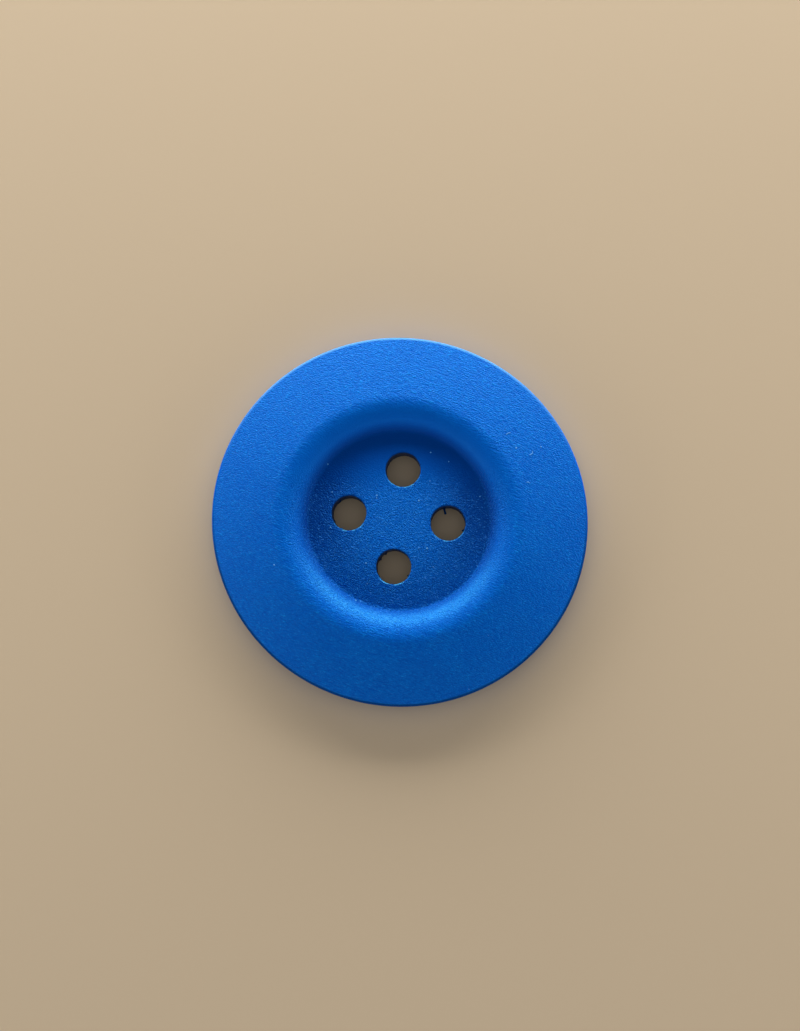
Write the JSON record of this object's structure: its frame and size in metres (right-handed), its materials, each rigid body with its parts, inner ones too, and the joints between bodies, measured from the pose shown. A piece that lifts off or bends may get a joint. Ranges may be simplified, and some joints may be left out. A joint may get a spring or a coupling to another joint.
{
  "type": "wooden button",
  "caption": "Large round turned wooden button, painted blue, with a broad sloping rim, a dished well and round sewing holes that fasten it to cloth.",
  "frame": {"origin": "middle of the flat back, where the button rests on cloth or a table", "axes": "+Z out through the face, +X along the grain of the wood, which is the longer way across"},
  "size_m": [0.06, 0.0588, 0.007],
  "materials": {
    "blue_paint": "satin blue paint on turned wood"
  },
  "bodies": {
    "root": {"button": "blue_paint"}
  },
  "joints": []
}
